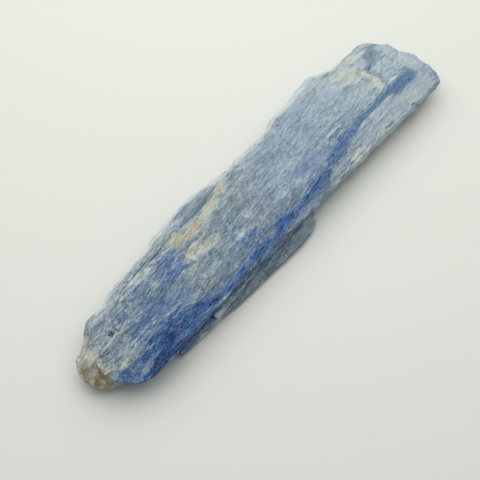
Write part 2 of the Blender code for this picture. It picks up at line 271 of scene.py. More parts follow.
# The rims, as seen in plan. The ends are given across, by the share of the way from front to back
BASE_BACK = [
    (-36.4, 0.2), (-35.3, 2.3), (-33.6, 3.2), (-31.6, 4.5), (-28.4, 4.65), (-25, 5.65), (-21.6, 5.95),
    (-17.6, 6.25), (-15.8, 6.9), (-11.6, 7.15), (-9.4, 7.65), (-7.9, 7.75), (-4.9, 7.6), (-2.6, 6.95),
    (4.4, 7), (9.4, 7.1), (13, 7.2), (24, 7.1), (27, 7.15), (30.4, 7.1), (33.6, 7.15), (35.2, 6.6),
    (36.2, 5.4),
]
BASE_FRONT = [
    (-35.4, -2.6), (-34.2, -3.8), (-32, -5.1), (-28, -5.8), (-10, -6.1), (1, -6.3), (5, -6.85),
    (21.4, -6.95), (28.4, -7), (29.9, -7.15), (31.4, -7), (35.2, -6.85),
]
BASE_NEAR = [(0, -35.3), (0.5, -35.8), (1, -35.8)]
BASE_FAR = [
    (0, 35.3), (0.1, 36), (0.23, 36), (0.31, 35.7), (0.46, 36.2), (0.55, 35.9), (0.67, 35.3),
    (0.85, 35.4), (0.92, 34.9), (1, 33.9),
]

PLATE_BACK = [
    (-30, 1.5), (-28.8, 2.3), (-27.5, 2.5), (-26.2, 3.3), (-21.4, 3.35), (-20.6, 3.7), (-15.5, 3.85),
    (-13.6, 4.9), (-12.1, 4.6), (-8.1, 4.5), (-6.1, 4.9), (-4.4, 5.4), (-2.6, 6), (8.2, 6), (10.2, 7.05),
    (12.3, 7.7), (15, 7.65), (17, 7.95), (20.5, 8.3), (21.5, 8.65), (22.8, 8.65), (23.4, 8.05),
    (25.1, 7.5), (25.8, 6.9), (28.8, 6.2),
]
PLATE_FRONT = [
    (-30, -1), (-27.5, -2.9), (-22, -4.8), (-16, -6), (-10, -6.2), (-4, -5.9), (1, -5.7), (5, -5.2),
    (8.5, -4.7), (11, -4.9), (12.8, -3.3), (13.3, -2.2), (14.5, -1.5), (16.8, -1.4), (17.8, -2.2),
    (27.4, -2.1), (28.6, -1.4),
]
PLATE_NEAR = [(0, -29.4), (0.3, -29.9), (0.8, -29.8), (1, -29.2)]
PLATE_FAR = [(0, 28.2), (0.15, 29.2), (0.3, 29.4), (0.45, 28.9), (0.6, 28.6), (1, 28.8)]

FRONT_BACK = [(-35.6, -1.2), (-34.4, -0.2), (-31, 0.1), (-28, -1.5), (13, -2.6)]
FRONT_FRONT = [
    (-35.4, -4.1), (-34.7, -4.9), (-33.6, -6.1), (-32.6, -6.9), (-31.3, -7.35), (-29.4, -7.5),
    (-27, -7.4), (-20, -7.2), (-16.5, -7.1), (-9.5, -6.7), (-1.5, -6.8), (2.5, -7.05), (13, -7),
]
FRONT_NEAR = [(0, -35.3), (0.4, -35.7), (0.8, -35.4), (1, -35.1)]
FRONT_FAR = [(0, 5), (0.3, 9), (0.6, 11), (1, 12.4)]

SLIVER_BACK = [(-19, -5.6), (4, -5.6)]
SLIVER_FRONT = [(-18.9, -7.85), (-15, -7.6), (-11, -7.2), (-8, -6.95), (3, -6.65)]
SLIVER_NEAR = [(0, -18.8), (1, -18.9)]
SLIVER_FAR = [(0, 1.5), (1, 3.5)]

UNDER_BACK = [(-25, -4), (5, -4)]
UNDER_FRONT = [
    (-26.2, -6.9), (-25.2, -7.3), (-20, -7.35), (-18, -7.45), (-15, -7.8), (-12, -8), (-8, -8.05),
    (-3, -8.3), (-1, -8.4), (2.2, -8.15), (3.4, -7.7), (4, -7.2), (4.5, -6.6),
]
UNDER_NEAR = [(0, -25.4), (0.5, -25.9), (1, -25.2)]
UNDER_FAR = [(0, 4.2), (0.5, 4.9), (1, 5.2)]


def walls(front, back, near, far):
    """One value for each of a blade's four walls."""
    return {"front": front, "back": back, "near": near, "far": far}


@dataclass
class Blade:
    """One blade: the four lines of its upper rim, its two faces, and how its walls run out."""

    name: str
    front: list  # (x, y) along the front rim
    back: list  # (x, y) along the back rim
    near: list  # (share of the way from front to back, x) across the near end
    far: list  # the same across the far end
    top: Callable
    bottom: Callable
    shoulder_at: float  # the height share of the worn shoulder under the rim
    seed: float
    shoulder: dict  # how far each wall runs out, and down, at the shoulder
    foot: dict  # how far each wall has run out at its foot
    ragged: float = 1.0  # how much the rim wanders from its line


BLADES = [
    Blade("base_blade", BASE_FRONT, BASE_BACK, BASE_NEAR, BASE_FAR, base_top, base_bottom, 0.75, 1,
          shoulder=walls((0.08, 1.3), (0.22, 0.4), (0.3, 0.6), (1.45, 0.75)),
          foot=walls(-0.9, -0.6, -0.4, -0.3)),
    Blade("top_plate", PLATE_FRONT, PLATE_BACK, PLATE_NEAR, PLATE_FAR, plate_top, plate_bottom, 0.5, 2,
          shoulder=walls((0.1, 0), (0.15, 0.22), (0.2, 0.3), (0.2, 0.15)),
          foot=walls(0.3, -0.6, 0.6, 0.3)),
    Blade("front_blade", FRONT_FRONT, FRONT_BACK, FRONT_NEAR, FRONT_FAR, front_top, front_bottom,
          0.5, 4,
          shoulder=walls((0.15, 0.35), (0.1, 0.2), (0.25, 0.5), (0.3, 0.4)),
          foot=walls(-0.35, 0.2, 0, -0.2)),
    Blade("front_sliver", SLIVER_FRONT, SLIVER_BACK, SLIVER_NEAR, SLIVER_FAR, sliver_top,
          sliver_bottom, 0.5, 5,
          shoulder=walls((0.1, 0.2), (0, 0.2), (0.1, 0.15), (0.1, 0.2)),
          foot=walls(-0.1, 0, 0, 0)),
    Blade("under_blade", UNDER_FRONT, UNDER_BACK, UNDER_NEAR, UNDER_FAR, under_top, under_bottom, 0.5, 6,
          shoulder=walls((0.15, 0.25), (0, 0.3), (0.3, 0.4), (0.25, 0.35)),
          foot=walls(0, 0, 0, 0)),
]


def lath(name, start, end, width, host, seed, rise=LATH_RISE):
    """A narrow flat crystal between two (x, y) places, grown onto the face of its host."""
    ends = (start, end)
    narrow = [(x, y - width / 2) for x, y in ends]
    wide = [(x, y + width / 2) for x, y in ends]
    return Blade(name, narrow, wide, [(0, start[0] + width), (1, start[0])],
                 [(0, end[0]), (1, end[0] - width)],
                 lambda x, y: host(x, y) + ramp(x, start[0] - LATH_LEAD, LATH_RUN, rise),
                 lambda x, y: host(x, y) - LATH_DEPTH, 0, seed,
                 shoulder=walls(*[(0, 0)] * 4),
                 foot=walls(0.1, 0.1, 0.3, 0.3), ragged=LATH_RAGGED)


LATHS = [
    lath("ledge_lath", (-27, 2.7), (-17, 3.2), 0.6, plate_top, 11),
    lath("back_lath", (-24, 4.6), (-11.5, 5.4), 0.8, base_top, 12),
    lath("edge_lath", (-18, -6.5), (0, -6.3), 0.5, front_top, 13, 0.03),
    lath("near_lath", (-34.4, -0.6), (-27.5, -0.5), 0.8, front_top, 14, 0.08),
    lath("near_front_lath", (-33, -4.6), (-23, -4.3), 0.7, front_top, 15, 0.06),
    lath("far_lath", (27, 6.2), (34, 6.4), 0.7, base_top, 16),
    lath("strip_lath", (14, -5.1), (27, -4.7), 0.8, base_top, 17, 0.07),
    lath("strip_edge_lath", (5, -5.9), (19, -6.2), 0.6, base_top, 18, 0.07),
    lath("plate_lath", (-4, 1.6), (9, 2), 0.9, plate_top, 19, 0.04),
    lath("plate_far_lath", (8, -0.6), (20, -0.2), 0.7, plate_top, 20, 0.04),
    lath("plate_back_lath", (11, 6.2), (22, 6.7), 0.8, plate_top, 21, 0.07),
]


def wall_profile(blade, side, w):
    """How far a wall stands out from its rim and down from it, at a height share of w."""
    out, drop = blade.shoulder[side]
    if w <= blade.shoulder_at:
        share = w / blade.shoulder_at if blade.shoulder_at else 1.0
        return mix(blade.foot[side], out, share), drop
    turn = math.pi / 2 * (w - blade.shoulder_at) / (1 - blade.shoulder_at)
    return out * math.cos(turn), drop * (1 - math.sin(turn))


def stepped(at, w, steps, seed):
    """Steps along a rim, at a place along it and a height share of w."""
    long, high, levels, riser, size = steps
    return size * treads(levels * wander(at, w, (long, high), seed), riser)


def fray(blade, side, at, w):
    """How far a rim has wandered from its line, at a place along it and a height share of w."""
    seed = blade.seed + FRAY_SEEDS[side]
    reach = blade.ragged * smooth(w / FRAY_FULL_AT)
    chips = stepped(at, w, CHIPS, seed + 6)
    return reach * (chips + sum(far * wander(at, w, (long, high), seed) for long, high, far in FRAYS))


def torn(blade, side, at, w):
    """How far the fibres of an end stop short of its line, each bundle by its own length."""
    seed = blade.seed + FRAY_SEEDS[side]
    long, high, size = SHORT_FIBRES
    ends = stepped(at, w, SHORT_BUNDLES, seed + 2) + size * wander(at, w, (long, high), seed + 4)
    return blade.ragged * smooth(w / FRAY_FULL_AT) * ends


def place(blade, u, v, w):
    """Where the block's point (u, v, w), each from 0 to 1, lies on the blade."""
    out = {side: wall_profile(blade, side, w)[0] for side in blade.shoulder}
    middle = mix(on_line(blade.near, v), on_line(blade.far, v), u)
    across = v * (on_line(blade.back, middle) - on_line(blade.front, middle))
    near_x = on_line(blade.near, v) - out["near"] + fray(blade, "near", across, w)
    far_x = on_line(blade.far, v) + out["far"] + fray(blade, "far", across, w)
    near_x += torn(blade, "near", across, w)
    far_x -= torn(blade, "far", across, w)
    x = mix(near_x, far_x, u)
    front = on_line(blade.front, x) - out["front"] + fray(blade, "front", x, w)
    back = on_line(blade.back, x) + out["back"] + fray(blade, "back", x, w)
    return x, mix(front, back, v)


def grid_of(blade):
    """How many cells the blade's block has along, across and up."""
    ends = blade.near[0][1], blade.far[0][1]
    middle = sum(ends) / 2
    front, back = on_line(blade.front, middle), on_line(blade.back, middle)
    high = blade.top(middle, (front + back) / 2) - blade.bottom(middle, (front + back) / 2)
    sizes = (ends[1] - ends[0], back - front, high)
    return [max(LEAST_CELLS, round(size / cell)) for size, cell in zip(sizes, CELL)]


def blade_object(blade):
    """A unit block cut into cells, each of its points then moved to its place on the blade."""
    bm = bmesh.new()
    bmesh.ops.create_cube(bm, size=1, matrix=Matrix.Translation((0.5, 0.5, 0.5)))
    for axis, count in enumerate(grid_of(blade)):
        uncut = [e for e in bm.edges if abs(e.verts[0].co[axis] - e.verts[1].co[axis]) > UNCUT]
        bmesh.ops.subdivide_edges(bm, edges=uncut, cuts=count - 1, use_grid_fill=True)
    for vert in bm.verts:
        u, v, w = (round(c, 5) for c in vert.co)
        x, y = place(blade, u, v, w)
        z = blade.bottom(x, y)
        if w > 0:
            on_walls = [side for side, at in zip(blade.shoulder, (v == 0, v == 1, u == 0, u == 1)) if at]
            drop = max((wall_profile(blade, side, w)[1] for side in on_walls), default=0.0)
            share = min(1.0, w / blade.shoulder_at) if blade.shoulder_at else w
            z = mix(z, blade.top(x, y) - drop, share)
        vert.co = Vector((x, y, z)) * MM
    bmesh.ops.triangulate(bm, faces=bm.faces)
    return mesh_object(blade.name, bm)


def in_scene(name, data):
    """A new object in the scene."""
    obj = bpy.data.objects.new(name, data)
    bpy.context.scene.collection.objects.link(obj)
    return obj


def mesh_object(name, bm):
    """An object in the scene with the mesh that the bmesh holds."""
    mesh = bpy.data.meshes.new(name)
    bm.to_mesh(mesh)
    bm.free()
    return in_scene(name, mesh)


def lump(name, centre, radii, seed):
    """A rounded lump of the stained crust, a sphere with its points pushed in and out."""
    bm = bmesh.new()
    bmesh.ops.create_icosphere(bm, subdivisions=LUMP_SPLITS, radius=1)
    for vert in bm.verts:
        swell = CRUST_BUMP * noise.noise(vert.co * CRUST_BUMP_RATE + Vector((seed, 0, 0)))
        vert.co = Vector(c + r * k * (1 + swell) for c, r, k in zip(centre, radii, vert.co))
        vert.co *= MM
    return mesh_object(name, bm)


def placed(centre, size, turn):
    """The matrix that stretches a unit shape to its size, turns it by degrees and moves it."""
    turned = Euler([math.radians(a) for a in turn]).to_matrix().to_4x4()
    return Matrix.Translation(Vector(centre) * MM) @ turned @ Matrix.Diagonal((*(Vector(size) * MM), 1))


def hollow(name, centre, radii, turn):
    """A smooth cutter for a hollow or flake: a stretched sphere."""
    bm = bmesh.new()
    bmesh.ops.create_icosphere(bm, subdivisions=HOLLOW_SPLITS, radius=1)
    bmesh.ops.transform(bm, matrix=placed(centre, radii, turn), verts=bm.verts)
    return mesh_object(name, bm)


def slot(name, centre, size, turn):
    """A square-sided cutter, where a fibre or a corner has dropped out."""
    bm = bmesh.new()
    bmesh.ops.create_cube(bm, size=1, matrix=placed(centre, size, turn))
    return mesh_object(name, bm)


def crust_lumps():
    return [
        lump("crust_broad", (-35, -0.7, 1.9), (2.4, 3.2, 1.7), 1),
        lump("crust_shoulder", (-34.8, 0.7, 2.5), (2.2, 2.1, 1.6), 3),
        lump("crust_seam", (-35.5, -0.3, 2.9), (1, 1, 1.1), 5),
    ]


def hollows():
    return [
        hollow("oval_hollow", (-12.2, 0.1, 6.2), (4.1, 1.5, 1), (0, 0, -4)),
        slot("dropped_fibre", (-30.9, 0.6, 4.95), (0.9, 0.75, 0.8), (0, 8, 16)),
        slot("far_corner_chip", (35.9, 4.8, 4.6), (1.6, 1.2, 1), (10, 25, -30)),
        hollow("underside_flake", (8, 5.8, 0.1), (9, 1.6, 0.9), (12, 0, 2)),
        hollow("underside_end", (-30, -1, 0), (5, 1.6, 0.9), (0, 6, 5)),
    ]


def fused(name, first, joined, cut):
    """One closed piece: the first object with others joined to it and the cutters taken out."""
    for other, operation in [(o, "UNION") for o in joined] + [(o, "DIFFERENCE") for o in cut]:
        modifier = first.modifiers.new(other.name, "BOOLEAN")
        modifier.operation = operation
        modifier.solver = "MANIFOLD"
        modifier.object = other
    bpy.context.view_layer.update()
    whole = first.evaluated_get(bpy.context.evaluated_depsgraph_get())
    piece = in_scene(name, bpy.data.meshes.new_from_object(whole))
    piece.data.name = name
    for helper in [first, *joined, *cut]:
        bpy.data.objects.remove(helper)
    return piece


# Where each colour lies in plan: x, y, half length, half width, strength and any turn in degrees
MARKS = {
    "blue": [
        (-25.5, -5.4, 5.5, 2, 0.92), (-26.2, -5.9, 2.1, 1.1, 1.3), (-21.5, -5.9, 4.5, 1.3, 0.92),
        (-18, -6.5, 1.6, 0.6, 1.15), (-33.6, -5, 1.9, 1.1, 0.62), (-29.5, -6.9, 4.5, 1, 1.15),
        (-30.2, 3.2, 1.1, 0.5, 0.3), (-28.6, 1.1, 1.3, 0.8, 0.55), (-18, 2.8, 2.4, 1.1, 0.62),
        (-18.6, 0.6, 2.6, 1.5, 0.68), (-25, -2, 5.2, 1.9, 0.65), (-24.7, 1.2, 4.5, 2, 0.36),
        (-27, -7.2, 4.2, 0.6, 1.2), (-7.6, -0.9, 3, 1.8, 0.36), (-22.6, -2.6, 2.4, 0.9, 0.62),
        (-30, -5.3, 1.8, 0.8, 0.85), (-7.4, -4.3, 2.8, 1.7, 0.5), (-6, -7, 10, 0.6, 0.45),
        (9, -2.4, 3.6, 1.3, 0.4), (15.6, -1.9, 1.2, 0.5, 0.4), (30.6, 2.6, 1.4, 0.6, 0.42, 8),
        (33.4, 3.9, 1.1, 0.8, 0.38, -15), (-7, -8.2, 10, 1.4, 0.42), (-20.6, -3.6, 3.4, 0.9, 0.45),
    ],
    "dull": [
        (-12, -8.2, 15, 1.4, 0.75), (-3, -7.4, 2.6, 0.7, 0.95), (23.6, -6.2, 1.1, 0.5, 0.95),
        (29.8, -7.3, 0.4, 0.5, 0.7), (-24.5, -1.4, 5, 2.4, 0.45), (-18.4, 1.4, 2.6, 2, 0.45),
        (-24, 1.4, 3, 1, 0.3),
    ],
    # The scoop's facet: its own smooth blue-grey, darkened as painted shade where it faces away from the
    # light
    "facet_tone_and_shade": [(-8.3, 5.7, 3.5, 1, 1, -4)],
    "haze": [
        (8.5, -1, 11, 4.6, 0.9), (12, 4.4, 8, 2.4, 0.8), (31, -3.6, 4, 1, 0.6),
    ],
    "pale": [
        (-31, -2.6, 3.2, 0.9, 0.3), (-32, -0.1, 1.9, 0.4, 0.9), (-31.3, -6.3, 1.1, 0.4, 0.75, -8),
        (-15, -3.3, 2.6, 0.9, 0.5), (-4, -1.4, 1.2, 0.6, 0.75), (-7.8, -2.7, 0.8, 0.35, 0.8),
        (-11.5, -5.2, 0.7, 0.4, 0.85), (2.1, -3, 0.8, 0.5, 0.95), (5.2, -3.2, 0.7, 0.6, 0.75),
        (10.2, 0.6, 1.2, 0.35, 0.9), (15.3, 3.3, 1.2, 0.3, 0.9), (4.6, 1, 8.6, 3.4, 0.36),
        (18, 2.4, 10, 4.2, 0.5), (15.8, 6.2, 7.2, 1.4, 0.6), (24.5, 0, 5, 3.4, 0.6),
        (29.8, 4.2, 1.2, 0.9, 0.9), (22, 4.8, 3, 2.4, 0.85), (26, 2.6, 1.5, 1, 0.8),
        (26, -5.3, 9, 1.6, 0.9), (23.5, -3.8, 4.6, 0.4, 1), (13.6, -1.7, 0.4, 0.9, 0.9),
        (16, -1.15, 1.5, 0.3, 1), (10.6, -4.6, 0.5, 0.7, 0.8, 30), (30.6, -1.7, 0.9, 0.4, 1),
        (35.6, 0, 1.8, 6, 1), (34, -5.4, 2, 2.2, 0.95), (32.2, 0.4, 2.8, 2.4, 0.75),
        (-6, -6.9, 10, 0.25, 0.3), (-18.6, -7.7, 1, 0.5, 0.9), (-21.8, -8, 1.4, 0.8, 0.8),
        (4.2, -7.4, 0.8, 0.5, 0.95), (-27, 4.4, 7, 0.8, 0.4, 8), (19, 7.4, 7, 1, 0.95),
        # The long pale mark at (22, -7) is painted light on the front wall under the far strip, which
        # lies in shade
        (5, 6.4, 6.5, 0.9, 1.1), (30, 6.4, 5, 1.2, 1.05), (22, -7, 13.5, 0.6, 0.85),
        (31, -6.4, 4, 1, 0.95), (-21, 5.3, 5, 1, 0.5, 6), (-6, 2.6, 1.6, 0.6, 0.4),
        (-13, 6.4, 4.4, 0.8, 0.5), (2, 5.2, 1.5, 0.6, 0.6),
    ],
    "cream": [
        (26, 4.3, 3.2, 1.9, 0.62), (26.3, 5.2, 0.9, 0.6, 0.9), (28.4, 2, 0.7, 3.4, 0.75),
        (28, -0.9, 0.9, 1, 0.85), (26.8, 1, 1.6, 2.8, 0.4), (30.3, 5.7, 2.2, 0.8, 0.75, -8),
        (15.8, -6.5, 1.8, 0.9, 0.7), (22, -6.3, 1.6, 0.6, 0.5), (30.5, -5.6, 2.4, 0.9, 0.5),
        (-33, -3.8, 0.8, 0.4, 0.75), (-34.2, 0.7, 1, 0.6, 0.9), (-29.5, 1.8, 0.5, 0.9, 0.4),
        (-7.9, 6.6, 1.2, 0.6, 0.45, 10), (-7.2, 3.8, 2.8, 0.9, 0.56, 8), (-3.4, 5, 1.5, 0.9, 0.65, 10),
        (-2, 5.7, 1.1, 0.7, 0.75), (-12.3, 0.3, 3.1, 1.4, 0.52, -6), (-14.9, 0.4, 0.5, 1.1, 0.85),
        (-22.2, 3.9, 2, 0.5, 0.95), (-13.4, 1.3, 0.8, 0.35, 1.2), (-12.2, 3, 2.6, 0.9, 0.5),
    ],
    "mica": [
        (-14, 3.9, 1.2, 1.4, 1), (-11.4, 3, 2.1, 0.8, 0.95), (-7.3, 3.9, 2.8, 0.6, 0.6, 8),
        (-3.8, 5.1, 0.8, 0.5, 0.8), (-14.3, 0.7, 0.7, 0.8, 0.9), (-10.6, -0.4, 1.2, 0.5, 0.5, -10),
        (-12.5, 0, 1.6, 0.7, 0.5, -6),
    ],
    "crust": [
        (-36.4, -0.6, 2, 3.8, 1.1), (-34.4, 3, 1.6, 1.2, 0.9, 20), (-34.5, 0.6, 0.7, 1.7, 0.9),
    ],
    "brown": [
        (-36.3, -1.9, 1, 0.9, 1.05), (-36.6, 0.3, 0.9, 0.6, 0.4), (-36.9, -0.8, 0.8, 0.8, 0.45),
        (-36.1, -3.4, 1, 0.5, 0.6), (-33.4, 2.6, 1.2, 0.25, 0.4, 28), (-35.3, -2.4, 0.4, 0.9, 0.5),
    ],
}
SOFT_MARKS = ("blue", "dull", "pale", "haze")
SOFT_BORDER = 0.9  # as a share of the mark's size
CRISP_BORDER = 0.5
MARK_WANDER = 0.5

# White ledges and splinters that run along the fibres, partly their own white and partly a painted
# highlight on their edges: a line in plan, its half width and strength
LEDGES_AND_HIGHLIGHTS = [
    ([(-27.3, 2.5), (-26, 3.15), (-21.4, 3.2), (-20.4, 3.55), (-15.6, 3.7)], 0.26, 1.4),
    ([(-25.4, 3.95), (-21.4, 4), (-18.2, 4.2), (-14.8, 4.5)], 0.2, 1.1),
    ([(-33.6, -0.2), (-32.2, -0.1), (-30.2, 0.1)], 0.22, 1.1), ([(-33.8, -2.2), (-31.8, -2.5)], 0.14, 1),
    ([(-33.4, -1.3), (-31, -1.5)], 0.08, 0.8), ([(-32.6, 2.9), (-31, 3.9), (-29, 4.2)], 0.12, 0.9),
    ([(-28.4, 1.9), (-26.6, 1.9), (-24.4, 2.1)], 0.08, 0.8), ([(-27.6, 0.3), (-25.4, 0.2)], 0.08, 0.8),
    ([(-29.4, -0.6), (-26.8, -0.9)], 0.1, 0.8), ([(-27.9, -2.6), (-25.2, -3), (-22.6, -3.7)], 0.1, 1),
    ([(-22.2, -4), (-20, -4.7)], 0.08, 0.8), ([(-18.9, -4.1), (-17, -4.2)], 0.14, 1.1),
    ([(-24.6, -5), (-22.8, -5.2)], 0.06, 0.8), ([(-30.4, -4.6), (-28.6, -4.9)], 0.07, 0.8),
    ([(-21.8, -6.4), (-18.4, -6.6)], 0.06, 0.7), ([(-17.9, 1.1), (-16.4, 1.25)], 0.14, 1),
    ([(-17.6, 0.3), (-16.2, 0.4)], 0.1, 0.8), ([(-0.4, 6.4), (4.1, 6.4), (9, 6.55)], 0.22, 1.3),
    ([(-13, 4.75), (-8, 4.55), (-5, 5)], 0.1, 0.6), ([(-17.6, -7.8), (-9.2, -7.5)], 0.08, 0.5),
    ([(18, -1.95), (27.5, -1.9)], 0.16, 0.8), ([(-11, 7), (-8, 7.4), (-5, 7.3)], 0.14, 0.8),
    ([(29.8, -1.55), (31.2, -1.7)], 0.24, 1.6), ([(19.5, -3.75), (27.5, -3.6)], 0.18, 1.1),
    ([(14.6, -1.1), (17.2, -1)], 0.18, 1.2), ([(-4, -8.2), (-2, -8.5), (0.5, -8.3)], 0.25, 1),
]
# Dark gaps between the sheets, painted shade where the sheets part and under their edges, given in the
# same way
SHADED_GAPS = [
    ([(-12, 5.05), (-9.8, 4.95), (-7.4, 5.15)], 0.2, 1.4), ([(-30.9, -1), (-27.3, -1.2)], 0.08, 1),
    ([(-27.2, -1.1), (-22.3, -1.4)], 0.07, 0.8), ([(-24, -3.9), (-20.5, -4.7)], 0.07, 0.8),
    ([(-25.6, 4.1), (-23.4, 4.35), (-21.6, 4.75), (-19.4, 4.85), (-16.4, 4.75)], 0.13, 1.05),
    ([(-19.3, 4.55), (-16.5, 4.6)], 0.09, 1.1), ([(-23, 5.2), (-17, 5.6)], 0.08, 0.4),
    ([(-1, 6.85), (8, 6.9)], 0.1, 1), ([(-33.6, -0.55), (-31, -0.4)], 0.1, 1),
    ([(-33.6, -2.5), (-31.6, -2.8)], 0.09, 0.9), ([(3.3, -3.5), (4.4, -3.6)], 0.1, 0.8),
    ([(34.7, 5.3), (35.6, 4.4)], 0.3, 1.1), ([(9, -7.25), (24, -7.3), (29, -7.3)], 0.16, 0.6),
    ([(-35.6, -2.9), (-34.6, -3.3)], 0.25, 0.8), ([(22.4, -6.3), (24.6, -6.5)], 0.22, 0.8),
    ([(29.2, -6.6), (30.2, -7.2)], 0.25, 0.9), ([(34.9, -3.7), (35.6, -4.2)], 0.22, 0.8),
    ([(15.8, -7), (17.4, -7)], 0.2, 0.9), ([(9.8, -6.9), (12.6, -7)], 0.16, 0.8),
    ([(-16, -7.3), (-8, -6.9)], 0.1, 0.9),
]

# The blue vein along the border of the plate: x, upper y, lower y and strength
VEIN = [
    (-24, -5.2, -7.2, 0.7), (-19, -5.9, -7.2, 0.9), (-18, -6, -7, 1.1), (-16.2, -6.2, -6.9, 0.75),
    (-15, -6.1, -7, 1.05), (-13.2, -6.1, -6.8, 0.7), (-11.5, -5.8, -6.9, 0.95), (-10, -5.8, -6.6, 0.7),
    (-8, -5.5, -6.7, 1.05), (-5.7, -5.6, -6.6, 0.9), (-4.2, -5.7, -6.6, 0.7), (-2.4, -5, -6.3, 0.9),
    (-0.2, -5.1, -6.3, 0.9), (1.5, -5.2, -6.3, 0.68), (4, -4.9, -6.2, 0.68), (7.5, -4.5, -5.9, 0.68),
    (9.4, -4.4, -5.6, 0.62), (10.6, -4, -4.9, 0.52), (12, -3.4, -4.8, 0.72), (14.3, -3.2, -4.8, 0.68),
    (15, -2.7, -4.3, 0.62), (19.3, -2.5, -3.6, 0.56), (20, -2.4, -3.3, 0.56), (27.4, -2.4, -3.2, 0.54),
    (28.8, -2.2, -3.7, 0.56), (32, -2.4, -4, 0.55), (33.6, -2.7, -4, 0.5), (34.8, -2.9, -3.7, 0.34),
    (35.6, -3, -3.5, 0),
]
VEIN_WANDER = (0.3, 0.25)  # of its upper and its lower border
VEIN_BORDER = {"start": -0.56, "over": 0.8}
HALO = 2.6  # how far the blue fades out behind the vein
HALO_LEVEL = 0.52
HALO_PAST = 0.2  # how far the halo passes the lower border

LINE_WANDER = (0.2, 0.6)  # of a ledge's or gap's side, and of its ends
LINE_BORDER = 1.5  # in half widths
LINE_END = 0.4

SHARP_ROUNDS = 2  # of smoothing, when sharp edges are looked for

# The half width of the pale edge along the back, a painted highlight, at two places
RIM_HIGHLIGHT_WIDTH = ((-10, 0), (0.28, 0.6))
# How loose the fibres lie, at two places
LOOSENESS = ((-13.75, 27.5), (1.3, 0.55))

# Noises that warp the borders and raise grains: runs along the fibres, across and up, seed, share
NOISES = {
    "wander": [((3.2, 0.45, 0.9), 3, 0.6), ((1.6, 0.7, 1.2), 5, 0.4)],
    "streaks": [((5, 0.28, 0.5), 14, 0.9)],
    "grit": [((0.8, 0.5, 0.6), 7, 0.9)],
    "breaks": [((1.2, 0.3, 0.4), 12, 1.8)],
    "looseness": [((9, 4, 4), 6, 0.3)],
    "grains": [((0.5, 0.4, 0.4), 8, 1)],
    "lumps": [((2, 1.7, 1.5), 9, 1)],
}
# How far the mica and the crust are pushed out, and how far the crust is set back first
MICA_GRAIN = 0.10
CRUST_LUMP = 0.40
CRUST_GRAIN = 0.06
CRUST_SINK = 0.14


def noise_at(points, name):
    """Smooth noise for a table of points."""
    total = np.zeros(len(points))
    for run, seed, share in NOISES[name]:
        scaled = points / run + np.array(SEED_SHIFT) * seed
        total += share * np.array([noise.noise(Vector(p)) for p in scaled.tolist()])
    return total


def fade(level, start, over):
    """0 up to start and 1 after a run of over, for a table of values."""
    return np.clip((level - start) / over, 0, 1)


def patches(points, marks, warp, border):
    """How strongly each point lies in the marks, whose soft borders wander with the warp."""
    found = np.zeros(len(points))
    for x, y, long, wide, strength, *turn in marks:
        a = math.radians(sum(turn))
        off_x, off_y = points[:, 0] - x, points[:, 1] - y
        along = off_x * math.cos(a) + off_y * math.sin(a)
        across = off_y * math.cos(a) - off_x * math.sin(a)
        inside = 1 + MARK_WANDER * warp - np.hypot(along / long, across / wide)
        found = np.maximum(found, strength * fade(inside, start=-border / 2, over=border))
    return found


def in_vein(points, warp):
    """How blue each point is for the vein: its core, and the halo that fades out behind it."""
    at, y = points[:, 0], points[:, 1]
    x, upper, lower, strength = zip(*VEIN)
    under_upper = np.interp(at, x, upper) - y + VEIN_WANDER[0] * warp
    over_lower = y - np.interp(at, x, lower) + VEIN_WANDER[1] * warp
    core = fade(np.minimum(under_upper, over_lower), **VEIN_BORDER)
    halo = HALO_LEVEL * fade(under_upper, start=-HALO, over=HALO) * (over_lower > -HALO_PAST)
    return np.interp(at, x, strength, left=0, right=0) * np.maximum(core, halo)


def sharpness(mesh):
    """How far each point stands out of its neighbours (+) or lies in a crease (-)."""
    co, normal = field(mesh.vertices, "co"), field(mesh.vertex_normals, "vector")
    ends = np.empty(len(mesh.edges) * 2, np.int64)
    mesh.edges.foreach_get("vertices", ends)
    a, b = ends.reshape(-1, 2).T
    way = co[b] - co[a]
    way /= np.maximum(np.linalg.norm(way, axis=1, keepdims=True), 1e-9)

    def summed(at_a, at_b):
        """What each point gets from all of its edges."""
        total = np.zeros(len(mesh.vertices))
        np.add.at(total, a, at_a)
        np.add.at(total, b, at_b)
        return total

    links = np.maximum(summed(1, 1), 1)
    sharp = summed(-(way * normal[a]).sum(1), (way * normal[b]).sum(1)) / links
    for _ in range(SHARP_ROUNDS):
        sharp = (sharp + summed(sharp[b], sharp[a]) / links) / 2
    return sharp


def on_lines(points, lines, warp):
    """How much each point belongs to the broken lines that follow the fibres."""
    found = np.zeros(len(points))
    at = points[:, 0]
    for line, half, strength in lines:
        x, y = zip(*line)
        off = np.abs(points[:, 1] - np.interp(at, x, y) - LINE_WANDER[0] * warp)
        past = np.maximum(x[0] - at, at - x[-1]) + LINE_WANDER[1] * warp
        near = fade(-off, start=-LINE_BORDER * half, over=half)
        found = np.maximum(found, strength * near * fade(-past, start=-LINE_END, over=LINE_END))
    return found * fade(noise_at(points, "breaks"), start=-0.6, over=1)


def on_back_rim_highlight(points, warp):
    """How near each point is to the thin, pale edge along the back, a painted highlight where it faces
    the light, which the wall under it lacks.
    """
    x, y, z = points.T
    lines = [np.interp(x, *zip(*line), left=math.inf, right=math.inf) for line in (BASE_BACK, PLATE_BACK)]
    off = np.abs(np.maximum(*lines) - y + 0.3 * warp)
    wide = np.interp(x, *RIM_HIGHLIGHT_WIDTH)
    return fade(-off, start=-1.3 * wide, over=wide) * fade(z - 0.5 * warp, start=3.7, over=0.6)


def field(source, key):
    """A table of the vectors that a mesh's elements hold."""
    values = np.empty(len(source) * 3)
    source.foreach_get(key, values)
    return values.reshape(-1, 3)


